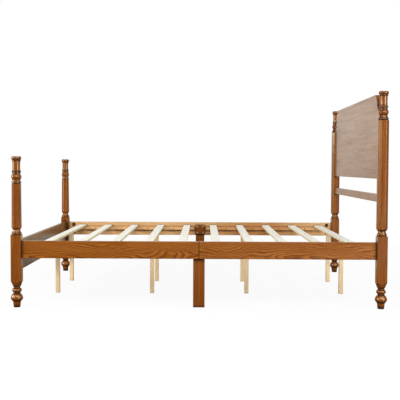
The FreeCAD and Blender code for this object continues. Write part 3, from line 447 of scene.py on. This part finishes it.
def with_bare_inside(build, axis, pith, colour, coat):
    """Colour and lacquer of a rail, which is bare on its inner face and in its pockets, and dark in the seam
    between its halves from stains there and painted shade of the gap. The bare wood has a painted shadow
    along part of the head half and painted light below the ledgers."""
    place = object_place(build)
    # Dark line of stain and painted shade in the seam between the rail halves
    seam = build.span(build.math("ABSOLUTE", place["X"]), *SEAM_LINE, SEAM_STRENGTH, 0.0)
    colour = build.blend(seam, colour, DARK_STAIN_AND_SHADE)
    bare = add_grain(build, axis, pith, PALE_INSIDE, wander=0.08, rings=0.25, streaks=1.0, pores=0.2,
                     rough=0.6)
    # Painted shadow along a stretch of the head half
    bare_colour = with_painted_shadow(build, bare["Color"])
    # Painted light: the shaded wood below the ledger is made paler
    painted_light = build.span(place["Z"], *PAINTED_LIGHT_BELOW)
    bare_colour = build.blend(painted_light, bare_colour, PAINTED_LIGHT_LIFT, mode="MULTIPLY")
    # Painted shade under the ledgers and slats on the bare inner face, with some dust in its corners
    bare_colour = add_stain_and_shade(build, axis, bare_colour, DARK_DUST_AND_SHADE, corners=0.9, edges=0.0, ends=0.3)["Color"]
    above = build.span(place["Z"], *STAINED_ABOVE)
    below = build.span(place["Z"], *STAINED_BELOW)
    across = build.math("ABSOLUTE", place["Y"])
    on_edge = build.math("MAXIMUM", above, below)
    on_edge = build.math("MULTIPLY", on_edge, build.span(across, *STAINED_FROM_INSIDE))
    stained = build.math("MAXIMUM", on_edge, build.span(across, *STAINED_FROM_POCKET))
    return build.blend(stained, bare_colour, colour), build.math("MULTIPLY", stained, coat)


def lacquered_wood(name, axis, pith, colours, wander=0.12, rings=0.7, ring_scale=RING_SCALE, pores=0.6,
                   rough=0.30, stain_and_shade=DARK_STAIN_AND_SHADE, reach=0.020, depth=0.42, edges=0.5, ends=0.6, sheen=0.7,
                   gloss=0.8, patches=1.0, glazed_and_shaded=False, rail=False):
    """Stained wood under gloss lacquer. The lacquer is thinner where stains and painted shade darken the
    wood.
    """
    material, build, shader = principled(name)
    grain = add_grain(build, axis, pith, colours, wander, rings, streaks=1.0, pores=pores, rough=rough,
                      ring_scale=ring_scale)
    # Stain on edges and in end grain, stain and painted shade in corners, and painted shade on undersides
    stain_and_shade_out = add_stain_and_shade(build, axis, grain["Color"], stain_and_shade, corners=1.0, edges=edges, ends=ends,
                            reach=reach, depth=depth, under=UNDER_SHADE_STRENGTH)
    colour = stain_and_shade_out["Color"]
    dull = stain_and_shade_out["Share"]
    if glazed_and_shaded:
        glaze_and_shade = glaze_and_shade_share(build)
        # Dark glaze and painted shade in the grooves of the finials
        colour = build.blend(glaze_and_shade, colour, BROWN_GLAZE_AND_SHADE)
        dull = build.math("MAXIMUM", dull, glaze_and_shade)
    thinnest = gloss * (1.0 - patches)
    thickest = gloss * (1.0 + PATCH_GAIN * patches)
    coat = build.span(grain["Sheen"], 0.0, MOST_SHEEN, thinnest, thickest)
    coat = build.math("MULTIPLY", coat, build.span(dull, 0.0, FULL_STAIN_AND_SHADE, 1.0, COAT_UNDER_STAIN_AND_SHADE))
    if rail:
        colour, coat = with_bare_inside(build, axis, pith, colour, coat)
    build.fill(shader, {"Specular IOR Level": sheen, "Specular Tint": GOLDEN_SHEEN,
                        "Coat Roughness": COAT_ROUGHNESS, "Coat Weight": coat})
    rough = build.math("ADD", grain["Roughness"], build.math("MULTIPLY", dull, ROUGHNESS_UNDER_STAIN_AND_SHADE))
    finish_wood(build, shader, colour, rough, grain["Height"], LACQUERED_RELIEF)
    return material


def plain_wood(name, axis, pith, colours, side_bounce=0.0, painted_shadow=False):
    """Planed wood with no finish. It can have painted warm bounce light on its sides towards the head and the
    foot, and a painted shadow.
    """
    material, build, shader = principled(name)
    grain = add_grain(build, axis, pith, colours, wander=0.06, rings=0.3, streaks=0.6, pores=0.25, rough=0.62)
    colour = grain["Color"]
    if side_bounce:
        # Painted warm bounce light on the sides that face the head and the foot
        facing = build.split(build.add("ShaderNodeNewGeometry").outputs["Normal"])
        on_side = build.span(build.math("ABSOLUTE", facing["X"]), *SIDE_FACING, 0.0, side_bounce)
        colour = build.blend(on_side, colour, PAINTED_SIDE_BOUNCE, mode="MULTIPLY")
    if painted_shadow:
        # Painted shadow along a stretch of the head half
        colour = with_painted_shadow(build, colour)
    # Dust along edges and in end grain, and dust with painted shade in corners
    colour = add_stain_and_shade(build, axis, colour, BROWN_DUST_AND_SHADE, corners=0.35, edges=0.12, ends=0.2)["Color"]
    finish_wood(build, shader, colour, grain["Roughness"], grain["Height"], BARE_RELIEF)
    return material


def plated_steel(name, colour, rough):
    """Plated steel with a faint spangle."""
    material, build, shader = principled(name)
    where = build.add("ShaderNodeTexCoord").outputs["Object"]
    spangle = build.noise(where, SPANGLE_CELLS, detail=3.0)
    shade = tuple(level * SPANGLE_SHADE for level in colour[:3]) + (1.0,)
    bright = build.blend(build.span(spangle, *SPANGLE_RANGE), shade, colour)
    uneven = build.span(spangle, *SPANGLE_RANGE, rough - SPANGLE_SMOOTHER, rough + SPANGLE_ROUGHER)
    build.fill(shader, {"Base Color": bright, "Roughness": uneven, "Metallic": 1.0})
    return material


# Material of each slot that the record names
finishes = {
    "post_wood": lacquered_wood(
        "post_stain", "Z", (1.060, 0.730, 0.0), CARAMEL_DEEP, wander=0.05, rings=0.35, rough=0.25,
        reach=0.024, depth=0.66, edges=0.65, sheen=0.8, gloss=0.55, patches=0.2, glazed_and_shaded=True),
    "rail_wood": lacquered_wood(
        "rail_stain", "X", (0.0, 0.850, 0.275), CARAMEL, wander=0.13, rings=0.9, ring_scale=44.0, pores=0.7,
        rail=True),
    "headboard_wood": lacquered_wood(
        "headboard_stain", "Y", (0.600, 0.0, 0.300), CARAMEL_GOLD, rings=0.4, stain_and_shade=RED_STAIN_AND_SHADE, edges=0.3,
        ends=0.95, sheen=0.3, gloss=0.57, patches=0.75),
    # Greyer stain, partly a painted sheen, under thin lacquer
    "footboard_wood": lacquered_wood(
        "footboard_stain", "Y", (0.960, 0.0, 0.310), CARAMEL_WITH_PAINTED_SHEEN, sheen=0.20, gloss=0.27),
    "splice_wood": lacquered_wood(
        "splice_stain", "Z", (0.30, 0.76, 0.0), CARAMEL_DEEP, wander=0.05, rings=0.55, ring_scale=26.0),
    "ledger_wood": plain_wood("ledger_pine", "X", (0.0, 0.70, 0.30), PALE_LEDGER, painted_shadow=True),
    "slat_wood": plain_wood("slat_pine", "Y", (0.02, 0.0, 0.20), PALE_SLAT, side_bounce=0.9),
    "support_wood": plain_wood("support_leg_pine", "Z", (0.03, 0.22, 0.0), PALE_LEG),
    "dowel_wood": plain_wood("dowel_beech", "X", (0.0, 0.75, 0.30), PALE_LEG),
    "zinc_steel": plated_steel("bright_zinc", tint(255, 246, 222), 0.42),
    "screw_steel": plated_steel("screw_zinc", tint(226, 216, 190), 0.36),
    "dark_steel": plated_steel("browned_steel", tint(146, 100, 62), 0.50),
}

for piece in frame["record"]["subparts"]:
    mesh = nodes[piece["node"]].data
    mesh.materials.clear()
    mesh.materials.append(finishes[piece["material_slot"]])


# Camera of the photograph: a long lens in front of the right side, as high as the finials of the foot posts

PHOTO_WIDTH = 400
LENS_PIXELS = 776.7
SENSOR_MM = 36.0
CAMERA_AT = Vector((0.021, -5.180, 0.797))
PITCH, YAW, ROLL = (math.radians(angle) for angle in (2.375, -0.216, 0.255))


def place_camera():
    """Camera at its place, turned down by the pitch, aside by the yaw and round its view by the roll."""
    ahead = Vector((math.sin(YAW) * math.cos(PITCH), math.cos(YAW) * math.cos(PITCH), -math.sin(PITCH)))
    level = Vector((math.cos(YAW), -math.sin(YAW), 0.0))
    upward = level.cross(ahead)
    right = level * math.cos(ROLL) + upward * math.sin(ROLL)
    top = upward * math.cos(ROLL) - level * math.sin(ROLL)
    data = bpy.data.cameras.new("photo_camera")
    data.sensor_width = SENSOR_MM
    data.lens = LENS_PIXELS / PHOTO_WIDTH * SENSOR_MM
    camera = bpy.data.objects.new("photo_camera", data)
    turn = Matrix((right, top, -ahead)).transposed().to_4x4()
    camera.matrix_world = Matrix.Translation(CAMERA_AT) @ turn
    scene.collection.objects.link(camera)
    scene.camera = camera


place_camera()


# White floor and surroundings, and soft studio lamps

# Light of the surroundings on the wood, and what the lacquer mirrors where nothing bright stands
SKY_LIGHT = 0.28
DIM_SIDE = 0.06

# Half the side of the floor, and how white its paint is to the wood and to the camera
FLOOR_HALF = 14.0
FLOOR_TO_WOOD = 0.12
FLOOR_TO_CAMERA = 0.86

# Distances from the middle of the bed between which its shadow fades out, and the share of glow before
SHADOW_FADES = (1.0, 4.0)
SHADOW_GLOW = 0.88

# Bright parts of the floor that the lacquer mirrors: behind the bed, and in front of it towards the head
BEHIND = (0.9, 1.5)
BEHIND_GLOW = 0.5
IN_FRONT = (-2.6, -1.8)
TOWARDS_HEAD = (-0.8, 1.8)
FRONT_GLOW = 0.55

# Sides, place and top of the cloth, the heights between which its glow rises, and the glow
CLOTH_SIDES = (-2.4, 3.4)
CLOTH_AT = 2.4
CLOTH_TOP = 3.4
CLOTH_RISES = (0.45, 1.20)
CLOTH_GLOW = (0.56, 0.86)

# Place, aim, width, height and watts of each lamp
LAMPS = {
    "front_soft": ((1.0, -7.0, 5.4), (0.1, -0.2, 0.4), 6.0, 4.0, 390.0),
    "left_spot": ((-4.4, -5.2, 5.8), (-0.2, -0.2, 0.5), 0.9, 0.9, 45.0),
    "right_spot": ((4.9, -4.0, 5.0), (0.4, -0.4, 0.5), 0.9, 0.9, 45.0),
    "left_low": ((-5.0, -4.4, 2.6), (-0.2, 0.0, 0.5), 1.6, 1.2, 138.0),
    "right_low": ((4.6, -4.6, 1.6), (0.6, -0.4, 0.4), 3.0, 2.6, 172.0),
    "left_side": ((-5.2, -0.9, 2.2), (-0.4, 0.0, 0.6), 1.7, 2.0, 106.0),
    "foot_low": ((-3.2, -1.0, 0.70), (-1.0, -0.5, 0.6), 0.8, 1.0, 18.0),
    "overhead": ((1.2, 0.5, 4.6), (0.9, 0.3, 0.3), 2.5, 2.5, 12.0),
}


def flat_sheet(name, corners, paint):
    """Sheet with four corners and an empty material. Returns the sheet and the material's tree."""
    mesh = bpy.data.meshes.new(name)
    mesh.from_pydata(corners, [], [(0, 1, 2, 3)])
    sheet = bpy.data.objects.new(name, mesh)
    scene.collection.objects.link(sheet)
    material = bpy.data.materials.new(paint)
    material.use_nodes = True
    material.node_tree.nodes.clear()
    mesh.materials.append(material)
    return sheet, Tree(material.node_tree)


def mirrored_ray(build, path):
    """One for a ray that a shiny or clear surface sends on, and zero for any other ray."""
    return build.math("MAXIMUM", path["Is Glossy Ray"], path["Is Transmission Ray"])


def make_floor():
    """White to the camera with the bed's shadow on it, a faint light on the wood, and bright only behind the
    bed and at the front where the lacquer mirrors it."""
    half = FLOOR_HALF
    corners = [(-half, -half, 0), (half, -half, 0), (half, half, 0), (-half, half, 0)]
    floor, build = flat_sheet("studio_floor", corners, "white_floor")
    path = build.add("ShaderNodeLightPath").outputs
    paint = build.add("ShaderNodeBsdfDiffuse")
    white = build.span(path["Is Camera Ray"], 0.0, 1.0, FLOOR_TO_WOOD, FLOOR_TO_CAMERA)
    build.join(white, paint.inputs["Color"])
    point = build.add("ShaderNodeTexCoord").outputs["Object"]
    place = build.split(point)
    behind = build.span(place["Y"], *BEHIND, DIM_SIDE, BEHIND_GLOW)
    towards_head = build.span(place["X"], *TOWARDS_HEAD, 0.0, FRONT_GLOW)
    in_front = build.span(place["Y"], *IN_FRONT, 1.0, 0.0)
    mirrored = build.math("MAXIMUM", behind, build.math("MULTIPLY", in_front, towards_head))
    glow = build.add("ShaderNodeEmission")
    build.join(build.math("MAXIMUM", mirrored, path["Is Camera Ray"]), glow.inputs["Strength"])
    away = build.add("ShaderNodeVectorMath", operation="LENGTH")
    build.join(point, away.inputs[0])
    share = build.span(away.outputs["Value"], *SHADOW_FADES, SHADOW_GLOW, 1.0)
    glowing = build.math("MULTIPLY", path["Is Camera Ray"], share)
    glowing = build.math("MAXIMUM", glowing, mirrored_ray(build, path))
    mix = build.add("ShaderNodeMixShader")
    build.join(glowing, mix.inputs[0])
    build.join(paint.outputs[0], mix.inputs[1])
    build.join(glow.outputs[0], mix.inputs[2])
    build.join(mix.outputs[0], build.add("ShaderNodeOutputMaterial").inputs[0])


def make_backdrop():
    """Cream cloth that glows softly behind the bed, for the lacquer to mirror. A camera doesn't see it."""
    left, right = CLOTH_SIDES
    corners = [(left, CLOTH_AT, 0.0), (right, CLOTH_AT, 0.0), (right, CLOTH_AT, CLOTH_TOP),
               (left, CLOTH_AT, CLOTH_TOP)]
    cloth, build = flat_sheet("studio_backdrop", corners, "cream_backdrop")
    cloth.visible_camera = False
    glow = build.add("ShaderNodeEmission")
    strength = build.span(object_place(build)["Z"], *CLOTH_RISES, *CLOTH_GLOW)
    build.fill(glow, {"Color": CREAM_CLOTH, "Strength": strength})
    build.join(glow.outputs[0], build.add("ShaderNodeOutputMaterial").inputs[0])


def make_world():
    """White to the camera, a faint light on the wood, and dim where the lacquer mirrors it."""
    world = bpy.data.worlds.new("white_studio")
    scene.world = world
    world.use_nodes = True
    build = Tree(world.node_tree)
    world.node_tree.nodes.clear()
    path = build.add("ShaderNodeLightPath").outputs
    mirrored = build.math("MULTIPLY", mirrored_ray(build, path), DIM_SIDE)
    on_wood = build.math("MULTIPLY", path["Is Diffuse Ray"], SKY_LIGHT)
    strength = build.math("MAXIMUM", mirrored, on_wood)
    strength = build.math("MAXIMUM", strength, path["Is Camera Ray"])
    background = build.add("ShaderNodeBackground")
    build.fill(background, {"Color": (1.0, 1.0, 1.0, 1.0), "Strength": strength})
    build.join(background.outputs[0], build.add("ShaderNodeOutputWorld").inputs[0])


def soft_lamp(name, place, aim, width, height, watts):
    """Flat lamp that faces a point of the bed."""
    data = bpy.data.lights.new(name, "AREA")
    data.shape = "RECTANGLE"
    data.size = width
    data.size_y = height
    data.energy = watts
    lamp = bpy.data.objects.new(name, data)
    lamp.location = place
    lamp.rotation_euler = (Vector(aim) - Vector(place)).to_track_quat("-Z", "Y").to_euler()
    scene.collection.objects.link(lamp)


make_floor()
make_backdrop()
make_world()
for lamp_name, setting in LAMPS.items():
    soft_lamp(lamp_name, *setting)

scene.view_settings.view_transform = "Standard"
